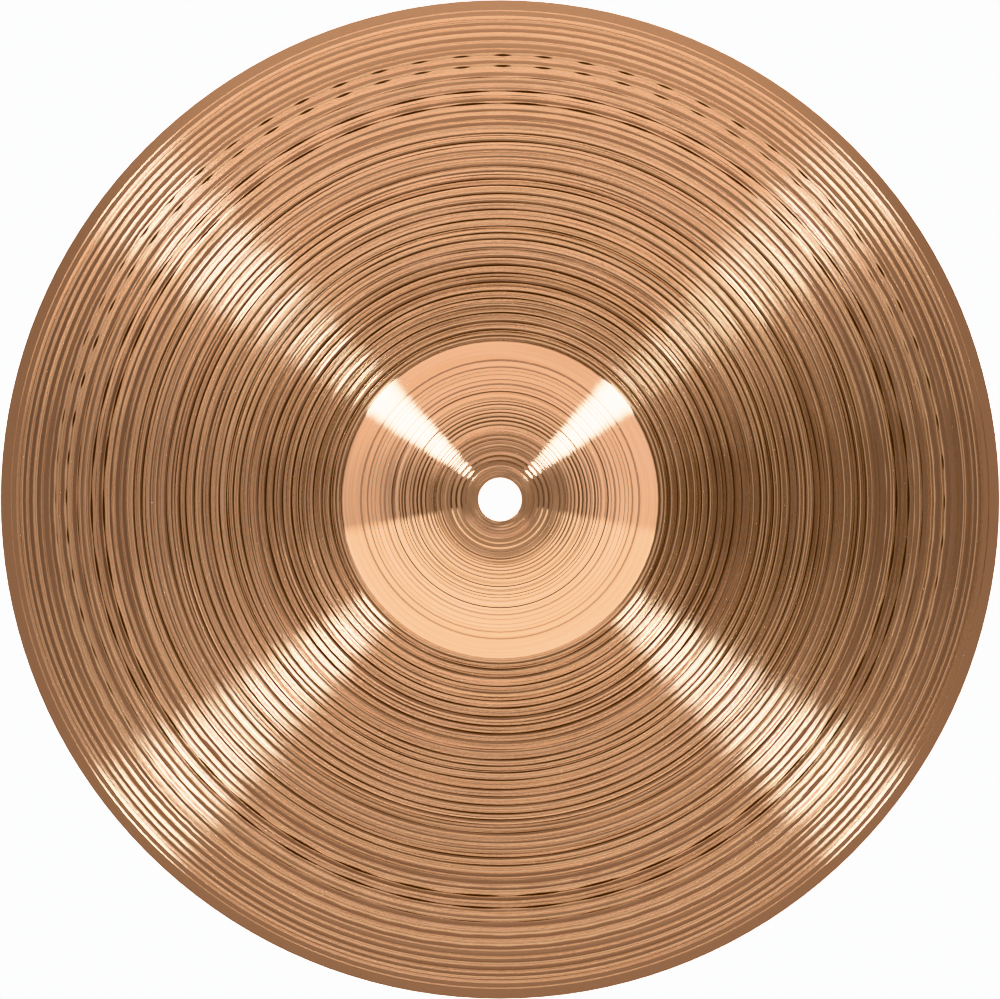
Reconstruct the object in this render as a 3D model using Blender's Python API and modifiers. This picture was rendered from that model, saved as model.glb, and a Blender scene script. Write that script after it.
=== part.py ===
"""A 12 inch crash cymbal: one disc of B8 bronze, pressed to shape and turned on a lathe.

Run with: blender --background --python part.py

Frame: metres, +Z up through the bell. The origin is the centre of the plane that the rim rests on.
The disc is turned about Z from one closed section. The section's upper line follows a slope law, which says
how steep the metal is at each radius, and its lower line is the upper one less the metal's thickness.
"""

import math

import bpy

INCH = 0.0254

# Driving dimensions, in metres and degrees.
DISC_DIAMETER = 12 * INCH
HOLE_DIAMETER = 0.0130      # clears the sleeve of a cymbal stand's 8 mm rod
SEAT_DIAMETER = 0.0200      # flat ring round the hole, where the felts bear
BELL_DIAMETER = 0.0976      # the raised cup, measured at its foot
BELL_SLOPE = 36.0           # the bell's flank, which is straight near its foot
BELL_ROUNDING = 0.75        # under 1, so the bell curves away fastest beside the seat
BOW_SLOPE_AT_BELL = 2.5     # the bow is nearly level where it leaves the bell
BOW_SLOPE_AT_RIM = 6.5      # and is steepest at the rim
THICKNESS_AT_HOLE = 0.00105
THICKNESS_AT_RIM = 0.00070

# What follows from them, and the small edges.
RIM_RADIUS = DISC_DIAMETER / 2
HOLE_RADIUS = HOLE_DIAMETER / 2
SEAT_RADIUS = SEAT_DIAMETER / 2
BELL_RADIUS = BELL_DIAMETER / 2
FLANK_START = 0.88 * BELL_RADIUS    # outside this the flank is straight
FOOT_WIDTH = 0.0012                 # the hollow bend between the flank and the bow
EDGE_CHAMFER = 0.00015              # the hole's and the rim's broken edges
LAND_WIDTH = 0.0005                 # level ring under the rim, worn by lying on a table

# How finely the section and the turning are cut.
TURNING_STEPS = 96
BELL_POINTS = 7
FLANK_POINTS = 1
FOOT_POINTS = 4
BOW_POINTS = 6
INTEGRATION_STEP = 0.0001

BRONZE_COLOUR = (0.86, 0.50, 0.29, 1.0)
BRONZE_ROUGHNESS = 0.28


def eased(share):
    """0 to 1 with level ends."""
    share = min(max(share, 0.0), 1.0)
    return share * share * (3 - 2 * share)


def slope(radius):
    """How far the upper surface falls outwards at a radius, in radians."""
    foot_start = BELL_RADIUS - FOOT_WIDTH
    if radius < foot_start:
        share = (radius - SEAT_RADIUS) / (FLANK_START - SEAT_RADIUS)
        return math.radians(BELL_SLOPE) * min(max(share, 0.0), 1.0) ** BELL_ROUNDING
    if radius < BELL_RADIUS:
        share = eased((radius - foot_start) / FOOT_WIDTH)
        return math.radians(BELL_SLOPE + (BOW_SLOPE_AT_BELL - BELL_SLOPE) * share)
    share = (radius - BELL_RADIUS) / (RIM_RADIUS - BELL_RADIUS)
    return math.radians(BOW_SLOPE_AT_BELL + (BOW_SLOPE_AT_RIM - BOW_SLOPE_AT_BELL) * share)


def thickness(radius):
    """The metal's vertical thickness, even across the seat and tapered from there to the rim."""
    share = max(0.0, (radius - SEAT_RADIUS) / (RIM_RADIUS - SEAT_RADIUS))
    square_to_surface = THICKNESS_AT_HOLE + (THICKNESS_AT_RIM - THICKNESS_AT_HOLE) * share
    return square_to_surface / math.cos(slope(radius))


def fall(start, end):
    """How far the upper surface drops between two radii."""
    steps = max(1, math.ceil((end - start) / INTEGRATION_STEP))
    width = (end - start) / steps
    return sum(math.tan(slope(start + (i + 0.5) * width)) for i in range(steps)) * width


def spread(start, end, count):
    """count radii from start to just before end, evenly spaced."""
    return [start + (end - start) * i / count for i in range(count)]


def surface_radii():
    """The radii at which the section has a point, from the hole's chamfer to the land under the rim."""
    foot_start = BELL_RADIUS - FOOT_WIDTH
    land_start = RIM_RADIUS - EDGE_CHAMFER - LAND_WIDTH
    return (
        [HOLE_RADIUS + EDGE_CHAMFER]
        + spread(SEAT_RADIUS, FLANK_START, BELL_POINTS)
        + spread(FLANK_START, foot_start, FLANK_POINTS)
        + spread(foot_start, BELL_RADIUS, FOOT_POINTS)
        + spread(BELL_RADIUS, land_start, BOW_POINTS)
        + [land_start]
    )


def section():
    """The closed outline (radius, height): out along the top, down the rim, back below, up the hole."""
    radii = surface_radii()
    land_start = radii[-1]
    top_edge = RIM_RADIUS - EDGE_CHAMFER
    land_height = thickness(land_start)
    upper = [(r, land_height + fall(r, land_start)) for r in radii]
    lower = [(r, z - thickness(r)) for r, z in upper]
    rim_height = land_height - fall(land_start, top_edge)
    rim = [
        (top_edge, rim_height),
        (RIM_RADIUS, rim_height - EDGE_CHAMFER),
        (RIM_RADIUS, EDGE_CHAMFER),
        (top_edge, 0.0),
    ]
    hole = [
        (HOLE_RADIUS, lower[0][1] + EDGE_CHAMFER),
        (HOLE_RADIUS, upper[0][1] - EDGE_CHAMFER),
    ]
    return upper + rim + lower[::-1] + hole


def bronze():
    material = bpy.data.materials.new("bronze")
    material.use_nodes = True
    shader = material.node_tree.nodes["Principled BSDF"]
    shader.inputs["Base Color"].default_value = BRONZE_COLOUR
    shader.inputs["Metallic"].default_value = 1.0
    shader.inputs["Roughness"].default_value = BRONZE_ROUGHNESS
    material.diffuse_color = BRONZE_COLOUR
    return material


def turned(name, outline, material, collection):
    """An object made by turning a closed outline about Z."""
    mesh = bpy.data.meshes.new(name)
    points = [(radius, 0.0, height) for radius, height in outline]
    edges = [(i, (i + 1) % len(points)) for i in range(len(points))]
    mesh.from_pydata(points, edges, [])
    mesh.materials.append(material)
    turned_object = bpy.data.objects.new(name, mesh)
    collection.objects.link(turned_object)
    screw = turned_object.modifiers.new("turning", "SCREW")
    screw.axis = "Z"
    screw.angle = 2 * math.pi
    screw.steps = TURNING_STEPS
    screw.render_steps = TURNING_STEPS
    screw.use_merge_vertices = True
    screw.merge_threshold = 0.00001
    screw.use_smooth_shade = True
    return turned_object


def main():
    for leftover in list(bpy.data.objects):
        bpy.data.objects.remove(leftover)
    collection = bpy.data.collections.new("crash_cymbal")
    bpy.context.scene.collection.children.link(collection)
    turned("cymbal", section(), bronze(), collection)


main()
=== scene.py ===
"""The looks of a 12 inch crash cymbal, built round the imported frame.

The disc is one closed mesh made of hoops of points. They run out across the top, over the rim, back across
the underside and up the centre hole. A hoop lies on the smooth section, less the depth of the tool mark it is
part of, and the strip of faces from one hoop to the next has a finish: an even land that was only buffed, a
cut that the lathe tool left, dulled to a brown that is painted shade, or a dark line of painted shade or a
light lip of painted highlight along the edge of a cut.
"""

import math
import random
from collections import namedtuple

import bpy
import numpy as np
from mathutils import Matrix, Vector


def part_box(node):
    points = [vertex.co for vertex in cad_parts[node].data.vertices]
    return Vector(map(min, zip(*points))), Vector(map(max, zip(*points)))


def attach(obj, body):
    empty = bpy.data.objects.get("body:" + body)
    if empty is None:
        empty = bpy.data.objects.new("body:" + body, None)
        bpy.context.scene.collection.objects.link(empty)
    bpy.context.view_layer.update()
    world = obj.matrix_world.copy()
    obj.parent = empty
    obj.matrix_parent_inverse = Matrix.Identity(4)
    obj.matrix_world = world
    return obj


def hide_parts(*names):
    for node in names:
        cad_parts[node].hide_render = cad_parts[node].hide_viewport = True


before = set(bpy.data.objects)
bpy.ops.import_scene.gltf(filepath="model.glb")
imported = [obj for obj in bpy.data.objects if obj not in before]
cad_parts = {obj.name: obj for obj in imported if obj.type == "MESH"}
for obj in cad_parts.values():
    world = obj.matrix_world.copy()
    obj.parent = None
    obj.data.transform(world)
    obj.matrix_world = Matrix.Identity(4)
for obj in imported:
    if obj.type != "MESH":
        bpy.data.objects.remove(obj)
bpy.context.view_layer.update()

CYMBAL_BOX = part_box("cymbal")

MM = 0.001
SEED = 12

# The smooth section, as the CAD model has it.
RIM_RADIUS = CYMBAL_BOX[1][0]
TOP_HEIGHT = CYMBAL_BOX[1][2]
HOLE_RADIUS = 6.5 * MM
SEAT_RADIUS = 10.0 * MM
BELL_RADIUS = 48.8 * MM
BELL_SLOPE = 36.0
BELL_ROUNDING = 0.75
BOW_SLOPE_AT_BELL = 2.5
BOW_SLOPE_AT_RIM = 6.5
THICKNESS_AT_HOLE = 1.05 * MM
THICKNESS_AT_RIM = 0.70 * MM
FLANK_START = 0.88 * BELL_RADIUS
FOOT_WIDTH = 1.2 * MM
EDGE_CHAMFER = 0.15 * MM
LAND_WIDTH = 0.5 * MM
RADIUS_STEP = 0.05 * MM

# Points round a hoop, by zone.
HOLE_COLUMNS = 72
BOW_COLUMNS = 144
HAMMERED_COLUMNS = 288
PIT_COLUMNS = 1152
UNDER_COLUMNS = 72

# Where the zones of the top begin and end.
SCALLOPS_START = 15.2 * MM
LOWER_BELL_START = 32.0 * MM
BOW_START = BELL_RADIUS + 0.8 * MM
HAMMERED_START = 116.0 * MM
DARK_LINES = (120.6 * MM, 124.3 * MM)
PITS_START = 130.6 * MM
PITS_END = 137.6 * MM
PLAIN_RIM_START = 147.6 * MM
BRIGHT_LINE = (148.9 * MM, 149.3 * MM)

# Faint lines in the seat, and the little ridges beside it: the first, an end and the pitch, in millimetres.
SEAT_LINES = (7.3, 9.5, 0.9)
SEAT_LINE_WIDTH = 0.25 * MM
SEAT_LINE_DEPTH = 0.004 * MM
RIDGES = (9.9, 14.9, 1.55)
RIDGE_FALL_WIDTH = 0.50 * MM
RIDGE_WIDTH = 0.62 * MM
RIDGE_DEPTH = 0.083 * MM

# The bell's scallops, at radii in millimetres: how wide they are in millimetres, how deep for their width,
# and how the dull brown round the seat fades out.
SCALLOP_WIDTHS = ((15, 18, 29, 46), (0.8, 0.9, 1.3, 1.8))
SCALLOP_DIPS = ((15, 18, 30, 36), (0.03, 0.055, 0.05, 0.022))
SEAT_DULLNESS = ((15, 21), (0.6, 0.0))

# The line just outside the bell's foot.
FOOT_LINE_START = BELL_RADIUS + 0.1 * MM
FOOT_LINE_WIDTH = 0.3 * MM
FOOT_LINE_DEPTH = 0.03 * MM

# Cuts with lands between them. land_widths are the least, most and likeliest, and cut_widths the least and
# most, in millimetres. lined is the share of the cuts that have a dark line of painted shade along their
# inner edge.
Band = namedtuple("Band", "land_widths cut_widths lined")
MIDDLE = Band((0.9, 2.4, 1.35), (0.5, 1.2), 0.5)
OUTER = Band((0.7, 1.4, 1.0), (1.0, 1.6), 0.0)
UNDERSIDE = Band((1.4, 3.4, 2.2), (0.9, 1.6), 0.5)

# Each cut draws a number from 0 to 1. It has a dark line of painted shade below the band's share, and a lip
# of painted highlight between these two.
LIPPED = (0.2, 0.7)
LIP_WIDTH = 0.28 * MM
EDGE_LINE_WIDTHS = (0.20, 0.42)
FINE_LINE_SPACING = 0.95 * MM
FINE_LINE_WIDTHS = (0.10, 0.24)
FINE_LINE_DEPTH = 0.015 * MM

# How far the edges waver, and how often in a turn.
BOW_SWING = 0.04 * MM
BOW_WAVES = (9, 13, 17)
HAMMERED_SWING = 0.06 * MM
HAMMERED_WAVES = (40, 44, 48)
OUTER_SWING = 0.02 * MM
OUTER_WAVES = (9, 13)
UNDER_SWING = 0.04 * MM
UNDER_WAVES = (7, 9)

# The two wavering lines of the hammered ring, painted dark as shade.
DARK_LINE_WIDTH = 0.45 * MM
DARK_LINE_DEPTH = 0.06 * MM
DARK_LINE_SWING = 0.13 * MM
DARK_LINE_WAVES = 42
DARK_LINE_PHASE = 1.0

# Rows of hammer marks: radius, and the angle at which the marks are deepest.
PIT_COUNT = 68
PIT_HALF_LENGTH = 2.7 * MM
PIT_PHASE = 0.4
PIT_ROWS = ((132.2 * MM, math.radians(120)), (135.5 * MM, math.radians(75)))

# Faces that meet at more degrees than this have a sharp edge between them.
SHARP_ANGLE = 5.0

# brushed is how widely the turning lines spread a reflection along the radius, and the next field how far the
# bare metal gives way to a dull brown, which on the cuts, lines and rim band is painted shade. shade is how
# dark a face is painted as shade, or if it is below 0, how light it is painted as a highlight. lean is which
# way the
# lines mostly tip the surface: 1 is outwards, -1 inwards.
Finish = namedtuple("Finish", "brushed tarnish shade lean")
LAND = Finish(1.0, 0.0, 0.0, 0.0)
# The cut's dull brown is painted shade, standing in for the darker reflection of its walls.
CUT = Finish(0.4, 1.0, 0.0, 0.0)
# A dark line of painted shade, standing in for the shade in the hollow at a cut's edge.
SHADE_LINE = Finish(0.3, 1.0, 0.95, 0.0)
# A light lip, a painted highlight along a cut's edge.
HIGHLIGHT_LIP = Finish(0.6, 1.0, -0.8, 0.0)
# A faint line of painted shade.
FAINT_SHADE = Finish(0.5, 1.0, 0.25, 0.0)
# The seat, the bell's top and the scallop edges are partly dulled to the same brown; on the edges it paints
# darker rings as shade.
SEAT = Finish(0.03, 0.35, 0.0, 0.0)
BELL_TOP = Finish(0.06, 0.6, 0.0, 0.0)
BELL = Finish(0.16, 0.0, 0.0, 0.0)
BELL_EDGE = Finish(0.16, 0.65, 0.0, 0.0)
# Hammer marks, painted dark as the shade in their dents.
SHADED_PIT = Finish(0.2, 1.0, 0.9, 0.0)
# The rim band is dulled to the brown of painted shade.
PLAIN = Finish(0.5, 1.0, -0.05, 0.0)

# The bronze's colours: bare metal and what varies it, then the dull brown with its painted light and shade,
# then the painted dark and light lines and marks.
BARE = (0.93, 0.49, 0.28, 1)
BARE_RING = (0.87, 0.48, 0.29, 1)
BARE_CLOUD = (0.84, 0.46, 0.24, 1)
BARE_LINE = (0.50, 0.24, 0.11, 1)
# The dull brown, which is painted shade on the cuts, lines and rim band.
PAINTED_SHADE_BROWN = (0.27, 0.135, 0.082, 1)
# Darker brown to the east and west, which is painted shade, and lighter brown to the north, which is painted
# light.
SIDES_PAINTED_SHADE = (0.15, 0.085, 0.060, 1)
NORTH_PAINTED_LIGHT = (0.72, 0.36, 0.20, 1)
# The near black of painted shade, for the dark lines and hammer marks.
PAINTED_SHADE_DARK = (0.035, 0.012, 0.005, 1)
# The painted highlight of the light lips.
PAINTED_HIGHLIGHT = (0.76, 0.42, 0.24, 1)
# The painted highlight of the lips, dimmer to the east and west as painted shade.
SIDES_PAINTED_HIGHLIGHT = (0.42, 0.23, 0.14, 1)

# How fine the material's own lines and rings are, along the radius, per metre.
RINGS_PER_METRE = 260.0
DRIFTS_PER_METRE = 480.0
COARSE_LINES_PER_METRE = 1400.0
FINE_LINES_PER_METRE = 4200.0
BRUSHED_LINES_PER_METRE = 60000.0

# The studio's brightness at angles from the zenith, in degrees, toward each side.
RIGHT_ANGLE = 90
EAST = (
    (0, 0.55), (4, 0.15), (11, 0.17), (18, 0.42), (25, 0.18), (40, 0.18), (46, 0.8), (62, 1.15),
)
WEST = (
    (0, 0.18), (4, 0.07), (7, 0.14), (11, 1.05), (15, 0.80), (19, 0.30), (26, 0.10), (44, 0.15), (52, 0.6),
    (66, 0.9),
)
NORTH = (
    (0, 0.10), (5, 0.07), (10, 0.16), (13.5, 2.4), (16.5, 2.2), (20, 0.28), (27, 0.16), (35, 0.34),
    (44, 0.92), (56, 1.22),
)
SOUTH = (
    (0, 0.40), (2, 0.60), (4, 2.2), (6, 1.9), (8.5, 0.36), (13, 0.30), (18, 0.75), (25, 0.60),
)
PANEL = ((24, 0.5), (30, 1.1), (50, 2.0), (62, 2.3), (74, 1.8))

# The panel fades in between these angles from the zenith.
PANEL_EDGE = (24, 30)

# Which way each side lies: azimuth, half width and the softness of its edge, in degrees.
EAST_SECTOR = (0, 90, 4)
NORTH_SECTOR = (94, 60, 18)
SOUTH_SECTOR = (263, 56, 13)
PANEL_SECTOR = (270, 78, 3)

SIDES_TINT = (1.0, 1.02, 1.05)
PANEL_TINT = (1.0, 1.09, 1.05)

# The two long strips of light, which make the streaks. STRIP_ENDS is how much of them there is at angles from
# the zenith.
STRIP_AZIMUTHS = (41.3, 139.5)
STRIP_HALF_WIDTH = 5.0
STRIP_EDGE_POWER = 3.5
STRIP_ENDS = ((25, 0.0), (28, 1.0), (72, 1.0), (76, 0.0))
STRIP_LIGHT = (43.0, 71.0, 92.0, 1.0)

# How bright the plain white is that the camera sees round the disc.
WHITE = 4.0

# The floor, which lies just below the rim and lights the disc from below by FLOOR_LIGHT.
FLOOR_RADIUS = 15.0
FLOOR_DROP = 0.02 * MM
FLOOR_LIGHT = 0.7

# The lens and the sensor in millimetres, and how wide the picture is for a disc 1 wide.
LENS = 400.0
SENSOR_WIDTH = 36.0
PICTURE_PER_DISC = 1000 / 999


# Hoops.

# swing is how far a hoop wavers in and out, waves how often it does so in a turn, and phase where it starts.
# pit is how far the hoop is pushed out where a hammer mark is, and sink how far it is pushed down there.
# There are pit_count marks in a turn, and they are deepest at the angle pit_heading.
Hoop = namedtuple("Hoop", "radius depth finish columns swing waves phase pit sink pit_count pit_heading")


def hoop(radius, depth=0.0, finish=LAND, columns=BOW_COLUMNS, swing=0.0, waves=0, phase=0.0,
         pit=0.0, sink=0.0, pit_count=0, pit_heading=0.0):
    return Hoop(radius, depth, finish, columns, swing, waves, phase, pit, sink, pit_count, pit_heading)


def eased(share):
    """0 to 1 with level ends."""
    share = np.clip(share, 0.0, 1.0)
    return share * share * (3 - 2 * share)


def slope(radius):
    """How far the smooth top falls outwards, in radians, at each radius of an array."""
    foot_start = BELL_RADIUS - FOOT_WIDTH
    bell_share = np.clip((radius - SEAT_RADIUS) / (FLANK_START - SEAT_RADIUS), 0.0, 1.0)
    bell = BELL_SLOPE * bell_share ** BELL_ROUNDING
    foot = BELL_SLOPE + (BOW_SLOPE_AT_BELL - BELL_SLOPE) * eased((radius - foot_start) / FOOT_WIDTH)
    bow_share = (radius - BELL_RADIUS) / (RIM_RADIUS - BELL_RADIUS)
    bow = BOW_SLOPE_AT_BELL + (BOW_SLOPE_AT_RIM - BOW_SLOPE_AT_BELL) * bow_share
    return np.radians(np.where(radius < foot_start, bell, np.where(radius < BELL_RADIUS, foot, bow)))


def thickness(radius):
    """The metal's vertical thickness."""
    share = np.clip((radius - SEAT_RADIUS) / (RIM_RADIUS - SEAT_RADIUS), 0.0, 1.0)
    return (THICKNESS_AT_HOLE + (THICKNESS_AT_RIM - THICKNESS_AT_HOLE) * share) / np.cos(slope(radius))


def smooth_section():
    """Radii, and the heights of the smooth top there, from the hole out to the rim."""
    radii = np.arange(HOLE_RADIUS - 1 * MM, RIM_RADIUS + 1 * MM, RADIUS_STEP)
    falls = np.tan(slope((radii[:-1] + radii[1:]) / 2)) * RADIUS_STEP
    return radii, TOP_HEIGHT - np.concatenate([[0.0], np.cumsum(falls)])


SECTION_RADII, SECTION_HEIGHTS = smooth_section()


def top_height(radius):
    return np.interp(radius, SECTION_RADII, SECTION_HEIGHTS)


def under_height(radius):
    return top_height(radius) - thickness(radius)


def line_hoops(radius, width, depth, columns, finish=SHADE_LINE, after=LAND, swing=0.0, waves=0, phase=0.0):
    """A V-shaped line starting at a radius. Its edges waver against each other, so it swells and narrows."""
    swing = min(swing, 0.3 * width)
    return [
        hoop(radius, 0.0, finish, columns, -swing, waves, phase),
        hoop(radius + width / 2, depth, finish, columns),
        hoop(radius + width, 0.0, after, columns, swing, waves, phase),
    ]


def seat_hoops():
    """The plain ring round the hole, with a few faint lines in it."""
    hoops = [hoop(HOLE_RADIUS + EDGE_CHAMFER, 0.0, SEAT, HOLE_COLUMNS)]
    for radius in np.arange(*SEAT_LINES) * MM:
        hoops += line_hoops(radius, SEAT_LINE_WIDTH, SEAT_LINE_DEPTH, HOLE_COLUMNS, SEAT, SEAT)
    return hoops


def bell_top_hoops():
    """Sharp little ridges where the bell begins, beside the seat. Each one catches the light as a dash."""
    hoops = []
    for radius in np.arange(*RIDGES) * MM:
        hoops += [
            hoop(radius, 0.0, BELL, HOLE_COLUMNS),
            hoop(radius + RIDGE_FALL_WIDTH, RIDGE_DEPTH, CUT, HOLE_COLUMNS),
            hoop(radius + RIDGE_WIDTH, 0.0, BELL_TOP, HOLE_COLUMNS),
        ]
    return hoops


def bell_hoops(rng):
    """Shallow scallops, which are fine by the seat, deepest half way down and broad near the foot."""
    hoops = []
    radius = SCALLOPS_START
    foot_start = BELL_RADIUS - FOOT_WIDTH
    while radius < foot_start - 1.2 * MM:
        width = np.interp(radius / MM, *SCALLOP_WIDTHS) * rng.uniform(0.6, 1.4) * MM
        dip = np.interp(radius / MM, *SCALLOP_DIPS) * width
        dip *= rng.uniform(0.4, 1.5)
        finish = BELL._replace(tarnish=float(np.interp(radius / MM, *SEAT_DULLNESS)))
        hoops.append(hoop(radius, 0.0, finish, HOLE_COLUMNS))
        hoops.append(hoop(radius + rng.uniform(0.30, 0.50) * width, dip, finish, HOLE_COLUMNS))
        if rng.random() < 0.7:
            # Some scallop edges get a ring of dull brown, a lip of painted highlight or a faint line of
            # painted shade.
            edge = rng.choice((BELL_EDGE, HIGHLIGHT_LIP) if radius > LOWER_BELL_START else (FAINT_SHADE, HIGHLIGHT_LIP))
            hoops.append(hoop(radius + rng.uniform(0.55, 0.80) * width, dip * 0.4, edge, HOLE_COLUMNS))
        radius += width
    for share in np.linspace(0.0, 1.0, 5):
        hoops.append(hoop(foot_start + FOOT_WIDTH * share, 0.0, BELL, HOLE_COLUMNS))
    # The line outside the foot is partly dulled, and a lip of painted highlight follows it.
    return hoops + line_hoops(
        FOOT_LINE_START, FOOT_LINE_WIDTH, FOOT_LINE_DEPTH, HOLE_COLUMNS, BELL_EDGE, HIGHLIGHT_LIP)


def cut_hoops(radius, width, rng, columns, swing, waves, land, lined):
    """One V-shaped tool cut, dulled to a brown that is painted shade, sometimes with a dark line of painted
    shade or a light lip of painted highlight along an edge.

    The cut's bottom, the line and the lip give way in a narrow cut, so that no hoop crosses the next.
    """
    depth = width * rng.uniform(0.07, 0.16)
    phase = rng.uniform(0, 2 * math.pi)
    edge = dict(waves=waves, phase=phase)
    cut = CUT._replace(shade=rng.uniform(-0.12, 0.25))
    kind = rng.random()
    line = rng.uniform(*EDGE_LINE_WIDTHS) * MM if kind < lined else 0.0
    lip = min(LIP_WIDTH, 0.32 * width) if LIPPED[0] < kind < LIPPED[1] else 0.0
    clearance = 1.2 * swing
    bottom = min(rng.uniform(0.5, 0.65) * width, width - lip - clearance)
    line = min(line, bottom - clearance)
    if line:
        line_depth = depth * 0.3 + 0.03 * MM
        hoops = line_hoops(radius, line, line_depth, columns, SHADE_LINE, cut, swing, waves, phase)
    else:
        hoops = [hoop(radius, 0.0, cut, columns, -swing, **edge)]
    hoops.append(hoop(radius + bottom, depth, cut, columns))
    if lip:
        hoops.append(hoop(radius + width - lip, depth * 0.25, HIGHLIGHT_LIP, columns, swing * 0.8, **edge))
    hoops.append(hoop(radius + width, 0.0, land, columns, swing, **edge))
    return hoops


def band_hoops(start, end, rng, columns, swing, waves, band):
    """Cuts and lands by turns, with fine lines in the lands. swing is how far the edges waver."""
    hoops = []
    radius = start
    while end - radius > 1.0 * MM:
        cut_width = rng.uniform(*band.cut_widths) * MM
        land_width = min(rng.triangular(*band.land_widths) * MM, end - radius - cut_width)
        if land_width < 0.3 * MM:
            break
        land = LAND._replace(lean=rng.uniform(-1.0, 1.0))
        hoops += cut_hoops(radius, cut_width, rng, columns, swing, rng.choice(waves), land, band.lined)
        radius += cut_width
        line_count = int(land_width / FINE_LINE_SPACING)
        for k in range(line_count):
            line = radius + land_width * (k + rng.uniform(0.7, 1.1)) / (line_count + 0.8)
            # The fine lines are painted shade, dull brown or painted highlight.
            finish = rng.choice((SHADE_LINE, FAINT_SHADE, CUT, HIGHLIGHT_LIP) if band.lined else (FAINT_SHADE, HIGHLIGHT_LIP))
            width = rng.uniform(*FINE_LINE_WIDTHS) * MM
            phase = rng.uniform(0, 2 * math.pi)
            land = LAND._replace(lean=rng.uniform(-1.0, 1.0))
            hoops += line_hoops(
                line, width, FINE_LINE_DEPTH, columns, finish, land, swing, rng.choice(waves), phase)
        radius += land_width
    return hoops


def pit_hoops(radius, heading):
    """A row of lens-shaped marks painted dark as shade, strung on a fine line of painted shade, between two
    lips of painted highlight that bend round them.
    """
    bend = dict(columns=HAMMERED_COLUMNS, waves=PIT_COUNT, phase=PIT_PHASE)
    row = dict(columns=PIT_COLUMNS, phase=PIT_PHASE, pit_count=PIT_COUNT, pit_heading=heading)
    return [
        hoop(radius - 0.75 * MM, 0.0, HIGHLIGHT_LIP, swing=0.08 * MM, **bend),
        hoop(radius - 0.55 * MM, 0.0, LAND, swing=0.10 * MM, **bend),
        hoop(radius - 0.03 * MM, 0.0, SHADED_PIT, pit=-0.38 * MM, **row),
        hoop(radius, 0.02 * MM, SHADED_PIT, pit=0.10 * MM, sink=0.10 * MM, **row),
        hoop(radius + 0.03 * MM, 0.0, HIGHLIGHT_LIP, pit=0.34 * MM, **row),
        hoop(radius + 0.50 * MM, 0.0, LAND, swing=0.10 * MM, **bend),
        hoop(radius + 0.72 * MM, 0.0, CUT, swing=0.10 * MM, **bend),
        hoop(radius + 1.30 * MM, 0.06 * MM, CUT, swing=0.05 * MM, **bend),
        hoop(radius + 1.75 * MM, 0.0, LAND, swing=0.05 * MM, **bend),
    ]


def hammered_hoops(rng):
    """The ring that the hammer went round: two wavering lines painted dark as shade, then two rows of marks.
    """
    wavering = (HAMMERED_COLUMNS, HAMMERED_SWING, HAMMERED_WAVES)
    hoops = []
    start = HAMMERED_START
    for dark_line in DARK_LINES:
        hoops += band_hoops(start, dark_line - 0.1 * MM, rng, *wavering, MIDDLE)
        hoops += line_hoops(
            dark_line, DARK_LINE_WIDTH, DARK_LINE_DEPTH, HAMMERED_COLUMNS,
            swing=DARK_LINE_SWING, waves=DARK_LINE_WAVES, phase=DARK_LINE_PHASE)
        start = dark_line + 0.8 * MM
    hoops += band_hoops(start, PITS_START, rng, *wavering, MIDDLE)
    for radius, heading in PIT_ROWS:
        hoops += pit_hoops(radius, heading)
    return hoops


def rim_hoops():
    """The plain band inside the rim, dulled to a brown that is painted shade, with one bright line of bare
    metal in it.
    """
    return [
        hoop(PLAIN_RIM_START, 0.0, PLAIN),
        hoop(BRIGHT_LINE[0], 0.0, LAND),
        hoop(BRIGHT_LINE[1], 0.0, PLAIN),
        hoop(RIM_RADIUS - 1.5 * MM, 0.0, PLAIN),
        hoop(RIM_RADIUS - 1.2 * MM, 0.01 * MM, PLAIN),
        hoop(RIM_RADIUS - 2 * EDGE_CHAMFER, 0.0, PLAIN),
    ]


def top_hoops(rng):
    """The whole top, from the hole to the rim."""
    hoops = seat_hoops() + bell_top_hoops() + bell_hoops(rng)
    hoops += band_hoops(BOW_START, HAMMERED_START, rng, BOW_COLUMNS, BOW_SWING, BOW_WAVES, MIDDLE)
    hoops += hammered_hoops(rng)
    outer_start = PITS_END + 0.2 * MM
    outer_end = PLAIN_RIM_START - 0.3 * MM
    hoops += band_hoops(outer_start, outer_end, rng, BOW_COLUMNS, OUTER_SWING, OUTER_WAVES, OUTER)
    return hoops + rim_hoops()


def under_hoops(rng):
    """The underside's cuts, made from the hole outwards and then turned round to run inwards from the rim."""
    start = hoop(HOLE_RADIUS + EDGE_CHAMFER, 0.0, SEAT, UNDER_COLUMNS)
    hoops = [start, hoop(SEAT_RADIUS, 0.0, LAND, UNDER_COLUMNS)]
    wavering = (UNDER_COLUMNS, UNDER_SWING, UNDER_WAVES)
    hoops += band_hoops(SEAT_RADIUS + 0.5 * MM, BELL_RADIUS - 2 * MM, rng, *wavering, UNDERSIDE)
    for step in (-1.2, -0.8, -0.4, 0.0, 1.0):
        hoops.append(hoop(BELL_RADIUS + step * MM, 0.0, LAND, UNDER_COLUMNS))
    hoops += band_hoops(BELL_RADIUS + 1.5 * MM, RIM_RADIUS - 3 * MM, rng, *wavering, UNDERSIDE)
    hoops.append(hoop(RIM_RADIUS - 2.5 * MM, 0.0, PLAIN, UNDER_COLUMNS))
    inward = hoops[::-1]
    return [one._replace(finish=after.finish) for one, after in zip(inward, inward[1:] + [start])]


# From hoops to a mesh.

def wave(one, angles):
    """The hoop's waver at each angle, from -1 to 1, a little uneven in its spacing."""
    return np.sin(one.waves * angles + one.phase + 0.7 * np.sin(3 * angles + 2 * one.phase))


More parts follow.
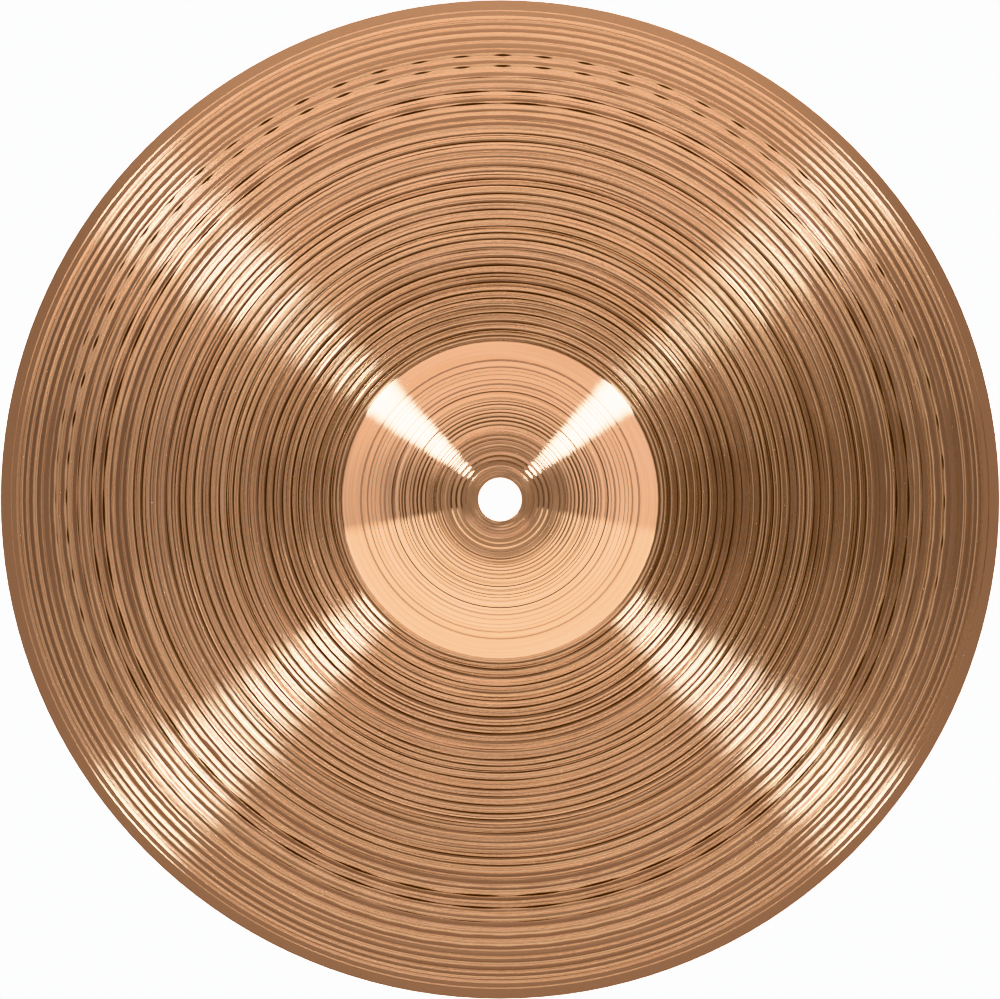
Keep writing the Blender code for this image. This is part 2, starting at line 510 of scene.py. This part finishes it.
def pit_shape(one, angles):
    """1 in the middle of the deepest hammer marks, falling to 0 at each one's ends."""
    if not one.pit_count:
        return np.zeros_like(angles)
    turns = (one.pit_count * angles + one.phase + 0.5 * np.sin(2 * angles)) / (2 * math.pi)
    numbers = np.round(turns).astype(int) % one.pit_count
    headings = 2 * math.pi * numbers / one.pit_count
    luck = np.random.default_rng(SEED).uniform(0.7, 1.0, one.pit_count)[numbers]
    strengths = luck * np.clip(0.45 + 0.75 * np.cos(headings - one.pit_heading), 0.0, 1.0)
    off_centre = np.abs(turns - np.round(turns)) * 2 * math.pi / one.pit_count * one.radius
    return strengths * np.clip(1 - (off_centre / PIT_HALF_LENGTH) ** 2, 0.0, 1.0)


def hoop_points(one, height, side):
    """A hoop's points. height is the smooth surface's height at a radius, and side is 1 above or -1 below."""
    angles = np.arange(one.columns) * 2 * math.pi / one.columns
    pits = pit_shape(one, angles)
    radius = one.radius + one.swing * wave(one, angles) + one.pit * pits
    heights = height(radius) - side * (one.depth + one.sink * pits)
    return np.stack([radius * np.cos(angles), radius * np.sin(angles), heights], axis=1)


def ring_points(radius, height, columns):
    """The points of an even ring."""
    angles = np.arange(columns) * 2 * math.pi / columns
    return np.stack([radius * np.cos(angles), radius * np.sin(angles), np.full(columns, height)], axis=1)


def bridge(first, first_columns, second, second_columns):
    """The faces between two hoops, given each one's first vertex and how many it has."""
    if first_columns == second_columns:
        n = first_columns
        return [(first + i, second + i, second + (i + 1) % n, first + (i + 1) % n) for i in range(n)]
    if first_columns > second_columns:
        return [face[::-1] for face in bridge(second, second_columns, first, first_columns)]
    faces = []
    share = second_columns // first_columns
    half = (share + 1) // 2
    for i in range(first_columns):
        near = first + i
        after = first + (i + 1) % first_columns
        fine = [second + (i * share + k) % second_columns for k in range(share + 1)]
        faces += [(near, fine[k], fine[k + 1]) for k in range(half)]
        faces.append((near, fine[half], after))
        faces += [(after, fine[k], fine[k + 1]) for k in range(half, share)]
    return faces


def disc_loops():
    """Every loop of points in order, as (points, how many, the finish of the faces after it)."""
    rng = random.Random(SEED)
    loops = []
    for one in top_hoops(rng):
        loops.append((hoop_points(one, top_height, 1), one.columns, one.finish))
    rim_top = float(top_height(RIM_RADIUS - EDGE_CHAMFER))
    rim_rings = (
        (RIM_RADIUS - 0.3 * EDGE_CHAMFER, rim_top - 0.3 * EDGE_CHAMFER),
        (RIM_RADIUS, rim_top - EDGE_CHAMFER),
        (RIM_RADIUS, EDGE_CHAMFER),
        (RIM_RADIUS - EDGE_CHAMFER, 0.0),
        (RIM_RADIUS - EDGE_CHAMFER - LAND_WIDTH, 0.0),
    )
    for radius, height in rim_rings:
        loops.append((ring_points(radius, height, BOW_COLUMNS), BOW_COLUMNS, LAND))
    for one in under_hoops(rng):
        loops.append((hoop_points(one, under_height, -1), one.columns, one.finish))
    for height in (float(under_height(HOLE_RADIUS)) + EDGE_CHAMFER, TOP_HEIGHT - EDGE_CHAMFER):
        loops.append((ring_points(HOLE_RADIUS, height, HOLE_COLUMNS), HOLE_COLUMNS, LAND))
    return loops


def disc_mesh():
    """The closed mesh, with each face's finish in attributes named as the finish's fields are."""
    loops = disc_loops()
    starts = np.concatenate([[0], np.cumsum([columns for _, columns, _ in loops])])
    faces = []
    finishes = []
    for i, (_, columns, finish) in enumerate(loops):
        after = (i + 1) % len(loops)
        made = bridge(int(starts[i]), columns, int(starts[after]), loops[after][1])
        faces += made
        finishes += [finish] * len(made)
    mesh = bpy.data.meshes.new("bronze_disc")
    mesh.from_pydata(np.concatenate([points for points, _, _ in loops]), [], faces)
    for name, values in zip(Finish._fields, zip(*finishes)):
        attribute = mesh.attributes.new(name, "FLOAT", "FACE")
        attribute.data.foreach_set("value", np.array(values, dtype=np.float32))
    mesh.shade_smooth()
    mesh.set_sharp_from_angle(angle=math.radians(SHARP_ANGLE))
    return mesh


# Nodes.

def node(tree, kind, values=None, **settings):
    """A new node. values are sockets to link, or numbers to set, by input."""
    made = tree.nodes.new(kind)
    for name, value in settings.items():
        setattr(made, name, value)
    for socket, value in (values or {}).items():
        if isinstance(value, bpy.types.NodeSocket):
            tree.links.new(value, made.inputs[socket])
        else:
            made.inputs[socket].default_value = value
    return made


def math_node(tree, operation, first, second=0.0):
    return node(tree, "ShaderNodeMath", {0: first, 1: second}, operation=operation).outputs[0]


def vector_node(tree, operation, first, second=(0.0, 0.0, 0.0)):
    made = node(tree, "ShaderNodeVectorMath", {0: first, 1: second}, operation=operation)
    return made.outputs["Value" if operation in ("LENGTH", "DOT_PRODUCT") else "Vector"]


def node_scaled(tree, vector, amount):
    values = {0: vector, "Scale": amount}
    return node(tree, "ShaderNodeVectorMath", values, operation="SCALE").outputs["Vector"]


def ranged(tree, value, low, high, to_low=0.0, to_high=1.0, kind="LINEAR"):
    values = {"Value": value, "From Min": low, "From Max": high, "To Min": to_low, "To Max": to_high}
    return node(tree, "ShaderNodeMapRange", values, interpolation_type=kind).outputs["Result"]


def mixed(tree, share, first, second):
    values = {0: share, 6: first, 7: second}
    return node(tree, "ShaderNodeMix", values, data_type="RGBA").outputs[2]


def ramp(tree, value, stops):
    """A grey ramp through (degrees, brightness) stops, where value is 1 at a right angle."""
    made = node(tree, "ShaderNodeValToRGB", {0: value})
    made.color_ramp.interpolation = "EASE"
    elements = made.color_ramp.elements
    while len(elements) < len(stops):
        elements.new(0.5)
    for element, (degrees, brightness) in zip(elements, stops):
        element.position = degrees / RIGHT_ANGLE
        element.color = (brightness, brightness, brightness, 1.0)
    return made.outputs["Color"]


# The bronze.

# Where a point of the disc is: its place, its distance from the axis, and which way out from there it lies.
Spot = namedtuple("Spot", "place radius outward")


def spot_nodes(tree):
    place = node(tree, "ShaderNodeTexCoord").outputs["Object"]
    flat = vector_node(tree, "MULTIPLY", place, (1.0, 1.0, 0.0))
    return Spot(place, vector_node(tree, "LENGTH", flat), vector_node(tree, "NORMALIZE", flat))


def turned_noise(tree, spot, per_metre, round_scale, detail):
    """Noise that runs in rings: per_metre along the radius, and round_scale round the turn."""
    values = {
        "Vector": vector_node(tree, "MULTIPLY", spot.outward, (round_scale,) * 3),
        "W": math_node(tree, "MULTIPLY", spot.radius, per_metre),
        "Scale": 1.0,
        "Detail": detail,
    }
    return node(tree, "ShaderNodeTexNoise", values, noise_dimensions="4D").outputs["Fac"]


def facing(tree, spot, direction):
    """How nearly a point lies that way from the axis, from -1 to 1."""
    return vector_node(tree, "DOT_PRODUCT", spot.outward, direction)


def bare_colour(tree, spot, lines, clouds):
    """The metal itself, varied by rings, clouds and fine turning lines."""
    rings = turned_noise(tree, spot, RINGS_PER_METRE, 0.8, 2.0)
    ringed = mixed(tree, ranged(tree, rings, 0.35, 0.65), BARE, BARE_RING)
    clouded = mixed(tree, ranged(tree, clouds, 0.4, 0.75, 0.0, 0.35), ringed, BARE_CLOUD)
    return mixed(tree, ranged(tree, lines, 0.40, 0.60, 0.30, 0.0), clouded, BARE_LINE)


def bronze_colour(tree, spot, marks, lines, clouds):
    """The metal and the dull brown, with painted light to the north, painted shade east and west, and painted
    lines.
    """
    # Painted light: on the outer bow the dull brown turns lighter toward the north.
    north_painted_light_share = ranged(tree, facing(tree, spot, (0.0, 1.0, 0.0)), 0.5, 1.0, 0.0, 0.5, kind="SMOOTHSTEP")
    north_painted_light = math_node(tree, "MULTIPLY", north_painted_light_share, ranged(tree, spot.radius, 0.08, 0.145, 0.0, 1.0))
    # Painted shade: to the east and west the dull brown and the painted highlights turn darker, less so at
    # the rim.
    sideways = math_node(tree, "ABSOLUTE", facing(tree, spot, (1.0, 0.0, 0.0)))
    side_painted_shade_share = ranged(tree, sideways, 0.80, 1.0, 0.0, 0.65, kind="SMOOTHSTEP")
    side_painted_shade = math_node(tree, "MULTIPLY", side_painted_shade_share, ranged(tree, spot.radius, 0.146, 0.148, 1.0, 0.25))
    side_shaded_brown = mixed(tree, side_painted_shade, PAINTED_SHADE_BROWN, SIDES_PAINTED_SHADE)
    painted_light_and_shade = mixed(tree, north_painted_light, side_shaded_brown, NORTH_PAINTED_LIGHT)
    dull = mixed(tree, marks.tarnish, bare_colour(tree, spot, lines, clouds), painted_light_and_shade)
    # A shade above 0 paints shade toward near black, and one below 0 paints a highlight.
    dark = mixed(tree, ranged(tree, marks.shade, 0.0, 1.0), dull, PAINTED_SHADE_DARK)
    light = mixed(tree, side_painted_shade, PAINTED_HIGHLIGHT, SIDES_PAINTED_HIGHLIGHT)
    return mixed(tree, ranged(tree, marks.shade, 0.0, -1.0), dark, light)


def brushed_tip(tree, spot, marks):
    """How far the turning lines tip the surface outwards along the radius, in radians.

    Each line is far finer than can be drawn. Most tip it a little, some a lot inwards, and a few outwards.
    """
    line_count = math_node(tree, "MULTIPLY", spot.radius, BRUSHED_LINES_PER_METRE)
    line_number = {"W": math_node(tree, "FLOOR", line_count)}
    chance = node(tree, "ShaderNodeTexWhiteNoise", line_number, noise_dimensions="1D").outputs["Value"]
    small_tip = ranged(tree, chance, 0.0, 1.0, -0.05, 0.05)
    steeper = ranged(tree, spot.radius, 0.05, 0.15, 0.72, 1.16)
    inward_most = math_node(tree, "MULTIPLY", steeper, ranged(tree, marks.lean, -1.0, 1.0, -0.52, -0.34))
    inward_tip = math_node(tree, "MULTIPLY", inward_most, ranged(tree, chance, 0.0, 0.30, 1.0, 0.0))
    calmer = ranged(tree, facing(tree, spot, (0.75, 0.66, 0.0)), 0.2, 0.95, 1.08, 0.30)
    outward_most = math_node(tree, "MULTIPLY", calmer, ranged(tree, marks.lean, -0.3, 0.6, 0.0, 0.5))
    outward_tip = math_node(tree, "MULTIPLY", outward_most, ranged(tree, chance, 0.91, 1.0, 0.0, 1.0))
    both_tips = math_node(tree, "ADD", math_node(tree, "ADD", inward_tip, outward_tip), small_tip)
    return math_node(tree, "MULTIPLY", both_tips, marks.brushed)


def bronze_normal(tree, spot, marks, lines, clouds):
    """Gentle unevenness from hammering, then the turning lines, and a slight drift round the turn."""
    bump = node(tree, "ShaderNodeBump", {"Strength": 1.0, "Distance": 0.02 * MM, "Height": clouds})
    coarse_tip = ranged(tree, lines, 0.3, 0.7, -0.02, 0.02)
    line_tip = math_node(tree, "ADD", brushed_tip(tree, spot, marks), coarse_tip)
    drift_noise = turned_noise(tree, spot, DRIFTS_PER_METRE, 0.5, 1.0)
    drift = ranged(tree, drift_noise, 0.3, 0.7, -0.003, 0.003)
    along = vector_node(tree, "CROSS_PRODUCT", (0.0, 0.0, 1.0), spot.outward)
    tipped = vector_node(tree, "ADD", bump.outputs["Normal"], node_scaled(tree, spot.outward, line_tip))
    drifted = vector_node(tree, "ADD", tipped, node_scaled(tree, along, drift))
    return vector_node(tree, "NORMALIZE", drifted)


def bronze_roughness(tree, spot, marks):
    """Low, because the turning lines do most of the spreading, and uneven from ring to ring."""
    fine_lines = turned_noise(tree, spot, FINE_LINES_PER_METRE, 2.5, 2.0)
    base_roughness = ranged(tree, marks.brushed, 0.0, 1.0, 0.07, 0.12)
    return math_node(tree, "ADD", base_roughness, ranged(tree, fine_lines, 0.3, 0.7, -0.02, 0.02))


def bronze_material():
    """Turned bronze: brushed lands between dull brown cuts and dark lines, both painted shade, and light lips
    of painted highlight.
    """
    material = bpy.data.materials.new("turned_bronze")
    material.use_nodes = True
    tree = material.node_tree
    shader = tree.nodes["Principled BSDF"]
    spot = spot_nodes(tree)
    marks = Finish(*(
        node(tree, "ShaderNodeAttribute", attribute_name=name).outputs["Fac"] for name in Finish._fields
    ))
    lines = turned_noise(tree, spot, COARSE_LINES_PER_METRE, 1.2, 2.0)
    cloud_values = {"Vector": spot.place, "Scale": 14.0, "Detail": 4.0}
    clouds = node(tree, "ShaderNodeTexNoise", cloud_values).outputs["Fac"]
    tree.links.new(bronze_colour(tree, spot, marks, lines, clouds), shader.inputs["Base Color"])
    tree.links.new(bronze_normal(tree, spot, marks, lines, clouds), shader.inputs["Normal"])
    tree.links.new(bronze_roughness(tree, spot, marks), shader.inputs["Roughness"])
    tree.links.new(ranged(tree, marks.tarnish, 0.0, 1.0, 1.0, 0.0), shader.inputs["Metallic"])
    tangent = node(tree, "ShaderNodeTangent", direction_type="RADIAL", axis="Z").outputs["Tangent"]
    tree.links.new(tangent, shader.inputs["Tangent"])
    shader.inputs["Specular IOR Level"].default_value = 0.0
    shader.inputs["Anisotropic"].default_value = 1.0
    shader.inputs["Anisotropic Rotation"].default_value = 0.25
    return material


def add_cymbal():
    disc = bpy.data.objects.new("bronze_disc", disc_mesh())
    bpy.context.scene.collection.objects.link(disc)
    disc.data.materials.append(bronze_material())
    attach(disc, "root")
    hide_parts("cymbal")


# The studio.

def closeness_to(tree, heading, azimuth):
    """The cosine of the angle between a heading and an azimuth in degrees."""
    angle = math.radians(azimuth)
    return vector_node(tree, "DOT_PRODUCT", heading, (math.cos(angle), math.sin(angle), 0.0))


def sector(tree, heading, azimuth, half_width, softness):
    """1 within half_width degrees of an azimuth, and 0 past the soft edge."""
    outer, inner = (math.cos(math.radians(half_width + step)) for step in (softness, -softness))
    return ranged(tree, closeness_to(tree, heading, azimuth), outer, inner, kind="SMOOTHSTEP")


def glow(tree, heading, azimuth):
    """A strip's light across its width: half as much STRIP_HALF_WIDTH away, and soon next to nothing."""
    away = math_node(tree, "ARCCOSINE", closeness_to(tree, heading, azimuth))
    widths_away = math_node(tree, "MULTIPLY", away, 1 / math.radians(STRIP_HALF_WIDTH))
    return math_node(tree, "POWER", 0.5, math_node(tree, "POWER", widths_away, STRIP_EDGE_POWER))


def sky_light(tree, heading, zenith):
    """The dim sky, which differs toward each side, and the wide panel to the south."""
    in_east = sector(tree, heading, *EAST_SECTOR)
    sides = mixed(tree, in_east, ramp(tree, zenith, WEST), ramp(tree, zenith, EAST))
    light = vector_node(tree, "MULTIPLY", sides, SIDES_TINT)
    light = mixed(tree, sector(tree, heading, *NORTH_SECTOR), light, ramp(tree, zenith, NORTH))
    light = mixed(tree, sector(tree, heading, *SOUTH_SECTOR), light, ramp(tree, zenith, SOUTH))
    past_edge = ranged(tree, zenith, *(degrees / RIGHT_ANGLE for degrees in PANEL_EDGE))
    in_panel = math_node(tree, "MULTIPLY", sector(tree, heading, *PANEL_SECTOR), past_edge)
    panel = vector_node(tree, "MULTIPLY", ramp(tree, zenith, PANEL), PANEL_TINT)
    return mixed(tree, in_panel, light, panel)


def with_strips(tree, light, heading, zenith, shiny):
    """The light with the two strips in front of it, for as much as shiny says."""
    strip = ramp(tree, zenith, STRIP_ENDS)
    for azimuth in STRIP_AZIMUTHS:
        mask = math_node(tree, "MULTIPLY", glow(tree, heading, azimuth), strip)
        light = mixed(tree, math_node(tree, "MULTIPLY", mask, shiny), light, STRIP_LIGHT)
    return light


def studio_world():
    """A round studio, which is the same below as above.

    The strips are only reflected, so they light nothing diffusely, and the camera sees plain white.
    """
    world = bpy.data.worlds.new("studio")
    world.use_nodes = True
    world.cycles.sampling_method = "NONE"
    bpy.context.scene.world = world
    tree = world.node_tree
    direction = node(tree, "ShaderNodeTexCoord").outputs["Generated"]
    height = node(tree, "ShaderNodeSeparateXYZ", {0: direction}).outputs["Z"]
    zenith_angle = math_node(tree, "ARCCOSINE", math_node(tree, "ABSOLUTE", height))
    zenith = ranged(tree, zenith_angle, 0.0, math.pi / 2)
    flat = vector_node(tree, "MULTIPLY", direction, (1.0, 1.0, 0.0))
    heading = vector_node(tree, "NORMALIZE", flat)
    paths = node(tree, "ShaderNodeLightPath").outputs
    shiny = math_node(tree, "SUBTRACT", 1.0, paths["Is Diffuse Ray"])
    light = with_strips(tree, sky_light(tree, heading, zenith), heading, zenith, shiny)
    light = mixed(tree, paths["Is Camera Ray"], light, (WHITE, WHITE, WHITE, 1.0))
    background = tree.nodes["Background"]
    tree.links.new(light, background.inputs["Color"])
    background.inputs["Strength"].default_value = 1.0


def floor_material():
    """Pale, and lit evenly from within like a light table. It is clear from below."""
    material = bpy.data.materials.new("pale_floor")
    material.use_nodes = True
    tree = material.node_tree
    shader = tree.nodes["Principled BSDF"]
    shader.inputs["Base Color"].default_value = (0.1, 0.1, 0.1, 1.0)
    shader.inputs["Roughness"].default_value = 0.9
    shader.inputs["Emission Color"].default_value = (1.0, 1.0, 1.0, 1.0)
    seen = node(tree, "ShaderNodeLightPath").outputs["Is Camera Ray"]
    tree.links.new(ranged(tree, seen, 0.0, 1.0, FLOOR_LIGHT, WHITE), shader.inputs["Emission Strength"])
    clear = node(tree, "ShaderNodeBsdfTransparent").outputs[0]
    behind = node(tree, "ShaderNodeNewGeometry").outputs["Backfacing"]
    surface = node(tree, "ShaderNodeMixShader", {0: behind, 1: shader.outputs[0], 2: clear})
    tree.links.new(surface.outputs[0], tree.nodes["Material Output"].inputs["Surface"])
    return material


def studio_floor():
    bpy.ops.mesh.primitive_circle_add(
        vertices=64, radius=FLOOR_RADIUS, fill_type="NGON", location=(0, 0, -FLOOR_DROP))
    floor = bpy.context.object
    floor.name = "floor"
    floor.data.materials.append(floor_material())


def add_camera():
    """Straight above the disc with a long lens, so that the disc just fills the picture."""
    camera = bpy.data.objects.new("camera", bpy.data.cameras.new("camera"))
    bpy.context.scene.collection.objects.link(camera)
    camera.data.lens = LENS
    camera.data.sensor_width = SENSOR_WIDTH
    picture_width = 2 * RIM_RADIUS * PICTURE_PER_DISC
    distance = picture_width * camera.data.lens / camera.data.sensor_width
    camera.location = (0.0, 0.0, distance)
    camera.data.clip_start = 0.1
    camera.data.clip_end = 40.0
    bpy.context.scene.camera = camera


add_cymbal()
studio_world()
studio_floor()
add_camera()
bpy.context.scene.view_settings.view_transform = "Khronos PBR Neutral"
